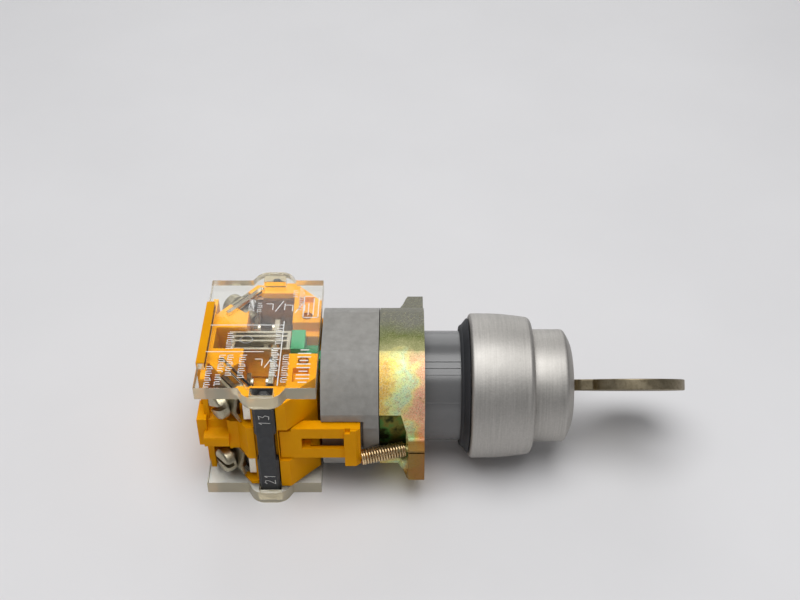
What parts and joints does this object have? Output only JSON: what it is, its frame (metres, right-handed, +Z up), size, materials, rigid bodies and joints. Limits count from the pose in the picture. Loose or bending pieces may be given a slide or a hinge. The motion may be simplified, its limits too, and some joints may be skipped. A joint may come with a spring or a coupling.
{
  "type": "selector key switch",
  "caption": "Key-operated selector switch for a 22.5 mm panel hole: metal bezel and lock guard, key, die-cast clamping flange and a latched contact block with clear covers and screw terminals.",
  "frame": {"origin": "centre of the underside of the bounding box: the switch lies on the flats of its rear cover, adapter and flange; the barrel axis is 14.7 mm above", "axes": "+X along the barrel axis towards the key; +Z up, square to the clear covers; +Y away from the latch arm"},
  "size_m": [0.0976, 0.0376, 0.0294],
  "materials": {
    "satin_aluminium": "satin anodised, turned",
    "grey_plastic": "moulded, fine satin",
    "black_rubber": "matt",
    "chromated_zinc": "die-cast zinc, yellow chromated, iridescent",
    "nickel_silver": "nickel silver, lightly tarnished",
    "brass": "turned brass",
    "zinc_plated_steel": "zinc plated",
    "spring_steel": "drawn wire, yellow chromated",
    "yellow_plastic": "moulded, semi-gloss",
    "clear_plastic": "clear, polished",
    "black_plastic": "moulded, matt",
    "white_plastic": "moulded, natural",
    "green_plastic": "moulded",
    "red_plastic": "moulded",
    "contact_silver": "silver-plated brass"
  },
  "bodies": {
    "housing": {"bezel_ring": "satin_aluminium", "lock_guard": "satin_aluminium", "panel_seal": "black_rubber", "barrel": "grey_plastic", "adapter_housing": "grey_plastic", "lock_body": "brass", "detent_ball": "zinc_plated_steel", "latch_pin": "zinc_plated_steel", "return_spring_no": "zinc_plated_steel", "return_spring_nc": "zinc_plated_steel", "detent_spring": "spring_steel", "latch_spring": "spring_steel", "mounting_flange": "chromated_zinc", "contact_housing": "yellow_plastic", "cover_top": "clear_plastic", "cover_bottom": "clear_plastic", "marking_strip_front": "black_plastic", "marking_strip_back": "black_plastic", "terminal_no_front": "contact_silver", "terminal_no_back": "contact_silver", "terminal_nc_front": "contact_silver", "terminal_nc_back": "contact_silver"},
    "lock_rotor": {"lock_plug": "brass", "lock_wafer_1": "brass", "lock_wafer_2": "brass", "lock_wafer_3": "brass", "lock_wafer_4": "brass", "lock_wafer_5": "brass", "plug_clip": "zinc_plated_steel", "drive_shaft": "zinc_plated_steel", "selector_cam": "white_plastic"},
    "key": {"key": "nickel_silver"},
    "latch": {"latch_arm": "yellow_plastic"},
    "clamp_screw_front": {"clamp_screw_front": "zinc_plated_steel"},
    "clamp_screw_back": {"clamp_screw_back": "zinc_plated_steel"},
    "contact_no": {"plunger_no": "green_plastic", "contact_carrier_no": "zinc_plated_steel", "contact_bridge_no": "contact_silver"},
    "terminal_clamp_no_front": {"terminal_screw_no_front": "zinc_plated_steel", "clamp_plate_no_front": "zinc_plated_steel"},
    "terminal_clamp_no_back": {"terminal_screw_no_back": "zinc_plated_steel", "clamp_plate_no_back": "zinc_plated_steel"},
    "contact_nc": {"plunger_nc": "red_plastic", "contact_carrier_nc": "zinc_plated_steel", "contact_bridge_nc": "contact_silver"},
    "terminal_clamp_nc_front": {"terminal_screw_nc_front": "zinc_plated_steel", "clamp_plate_nc_front": "zinc_plated_steel"},
    "terminal_clamp_nc_back": {"terminal_screw_nc_back": "zinc_plated_steel", "clamp_plate_nc_back": "zinc_plated_steel"}
  },
  "joints": [
    {"name": "key_turn", "type": "hinge", "parent": "housing", "child": "lock_rotor", "pos_m": [0, 0, 0.0147], "axis": [1, 0, 0], "range_deg": [-90, 0]},
    {"name": "key_slide", "type": "slide", "parent": "lock_rotor", "child": "key", "axis": [1, 0, 0], "range_m": [0, 0.0256]},
    {"name": "contact_no_slide", "type": "slide", "parent": "housing", "child": "contact_no", "axis": [1, 0, 0], "range_m": [-0.0024, 0], "deforming": ["return_spring_no"]},
    {"name": "contact_nc_slide", "type": "slide", "parent": "housing", "child": "contact_nc", "axis": [1, 0, 0], "range_m": [-0.0024, 0], "deforming": ["return_spring_nc"]},
    {"name": "latch_swing", "type": "hinge", "parent": "housing", "child": "latch", "pos_m": [-0.0313, -0.01535, 0.0147], "axis": [0, 0, 1], "range_deg": [-12, 0], "stiffness_Nm_per_rad": 0.1, "springref_deg": 17.19, "deforming": ["latch_spring"]},
    {"name": "clamp_screw_front_turn", "type": "slide", "parent": "housing", "child": "clamp_screw_front", "axis": [1, 0, 0], "range_m": [0, 0.003]},
    {"name": "clamp_screw_back_turn", "type": "slide", "parent": "housing", "child": "clamp_screw_back", "axis": [1, 0, 0], "range_m": [0, 0.003]},
    {"name": "terminal_clamp_no_front_open", "type": "slide", "parent": "housing", "child": "terminal_clamp_no_front", "axis": [-0.7743, -0.6328, 0], "range_m": [0, 0.0015]},
    {"name": "terminal_clamp_no_back_open", "type": "slide", "parent": "housing", "child": "terminal_clamp_no_back", "axis": [-0.7743, 0.6328, 0], "range_m": [0, 0.0015]},
    {"name": "terminal_clamp_nc_front_open", "type": "slide", "parent": "housing", "child": "terminal_clamp_nc_front", "axis": [-0.7743, -0.6328, 0], "range_m": [0, 0.0015]},
    {"name": "terminal_clamp_nc_back_open", "type": "slide", "parent": "housing", "child": "terminal_clamp_nc_back", "axis": [-0.7743, 0.6328, 0], "range_m": [0, 0.0015]}
  ],
  "couplings": [
    {"joint": "contact_no_slide", "follows": "key_turn", "m_per_rad": 0.001527},
    {"joint": "contact_nc_slide", "follows": "key_turn", "m_per_rad": 0.001527}
  ]
}
